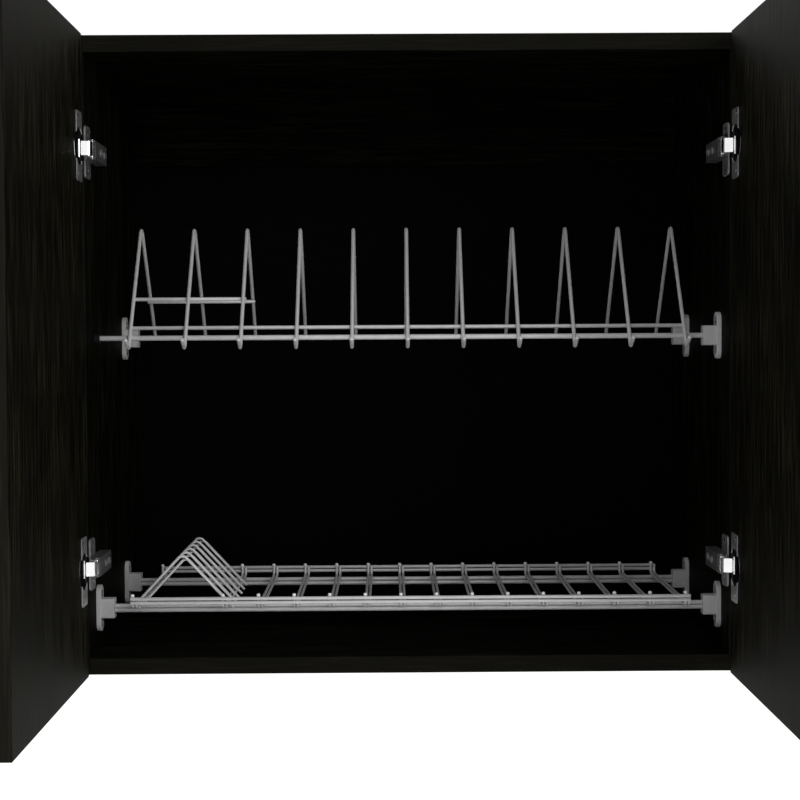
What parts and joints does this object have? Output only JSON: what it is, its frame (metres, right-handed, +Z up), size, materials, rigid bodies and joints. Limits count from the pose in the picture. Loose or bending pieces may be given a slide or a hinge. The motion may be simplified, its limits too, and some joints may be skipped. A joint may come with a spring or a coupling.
{
  "type": "dish drying cabinet",
  "caption": "Wall-hung kitchen cabinet with two hinged doors, an upper wire rack for plates and a lower wire tray with a cup holder.",
  "frame": {"origin": "centre of the carcass's bottom face", "axes": "+X to the right seen from the front, -Y towards the front and the open doors, +Z up"},
  "size_m": [0.6, 0.6113, 0.566],
  "materials": {
    "dark_board": "satin dark laminate with faint wood grain",
    "door_board": "satin dark wenge-like laminate",
    "back_board": "dark lacquered hardboard",
    "rack_wire": "satin plated wire",
    "bracket_plastic": "fine matte grey moulding",
    "dark_plastic": "matte black moulding",
    "hinge_steel": "bright nickel plated steel",
    "screw_steel": "zinc plated steel"
  },
  "bodies": {
    "cabinet": {"back_panel": "back_board", "back_panel_nails": "screw_steel", "bottom_panel": "dark_board", "bracket_screws": "screw_steel", "carcass_screws": "screw_steel", "cup_companion_hoops": "rack_wire", "cup_hoops": "rack_wire", "hanging_rail": "dark_board", "hinge_arm_screws": "screw_steel", "left_lower_hinge_arm": "hinge_steel", "left_lower_hinge_mounting_plate": "hinge_steel", "left_side_panel": "dark_board", "left_upper_hinge_arm": "hinge_steel", "left_upper_hinge_mounting_plate": "hinge_steel", "lower_front_rail": "rack_wire", "lower_front_rail_twin": "rack_wire", "lower_left_front_bracket": "bracket_plastic", "lower_left_rear_bracket": "bracket_plastic", "lower_rear_rail": "rack_wire", "lower_rear_rail_twin": "rack_wire", "lower_right_front_bracket": "bracket_plastic", "lower_right_rear_bracket": "bracket_plastic", "mounting_plate_screws": "screw_steel", "plate_dividers": "rack_wire", "plate_stop_wire": "rack_wire", "rail_end_peg": "dark_plastic", "right_lower_hinge_arm": "hinge_steel", "right_lower_hinge_mounting_plate": "hinge_steel", "right_side_panel": "dark_board", "right_upper_hinge_arm": "hinge_steel", "right_upper_hinge_mounting_plate": "hinge_steel", "small_plate_wires": "rack_wire", "top_panel": "dark_board", "tray_companion_wires": "rack_wire", "tray_cross_wires": "rack_wire", "tray_front_rim": "rack_wire", "tray_rear_rim": "rack_wire", "upper_front_rail": "rack_wire", "upper_left_rear_bracket": "bracket_plastic", "upper_rear_rail": "rack_wire", "upper_right_front_bracket": "bracket_plastic", "upper_right_rear_bracket": "bracket_plastic"},
    "left_door": {"left_cup_pins": "hinge_steel", "left_cup_screws": "screw_steel", "left_door": "door_board", "left_lower_hinge_cup": "hinge_steel", "left_upper_hinge_cup": "hinge_steel"},
    "left_links": {"left_link_pins": "hinge_steel", "left_lower_hinge_link": "hinge_steel", "left_upper_hinge_link": "hinge_steel"},
    "right_door": {"right_cup_pins": "hinge_steel", "right_cup_screws": "screw_steel", "right_door": "door_board", "right_lower_hinge_cup": "hinge_steel", "right_upper_hinge_cup": "hinge_steel"},
    "right_links": {"right_link_pins": "hinge_steel", "right_lower_hinge_link": "hinge_steel", "right_upper_hinge_link": "hinge_steel"}
  },
  "joints": [
    {"name": "left_door_swing", "type": "hinge", "parent": "cabinet", "child": "left_door", "pos_m": [-0.297, -0.16575, 0.283], "axis": [0, 0, 1], "range_deg": [-5, 90]},
    {"name": "left_link_turn", "type": "hinge", "parent": "left_door", "child": "left_links", "pos_m": [-0.28485, -0.17315, 0.283], "axis": [0, 0, 1], "range_deg": [-172, 10]},
    {"name": "right_door_swing", "type": "hinge", "parent": "cabinet", "child": "right_door", "pos_m": [0.297, -0.16575, 0.283], "axis": [0, 0, -1], "range_deg": [-5, 90]},
    {"name": "right_link_turn", "type": "hinge", "parent": "right_door", "child": "right_links", "pos_m": [0.28485, -0.17315, 0.283], "axis": [0, 0, -1], "range_deg": [-172, 10]}
  ],
  "couplings": [
    {"joint": "left_link_turn", "follows": "left_door_swing", "ratio": -1.9},
    {"joint": "right_link_turn", "follows": "right_door_swing", "ratio": -1.9}
  ]
}
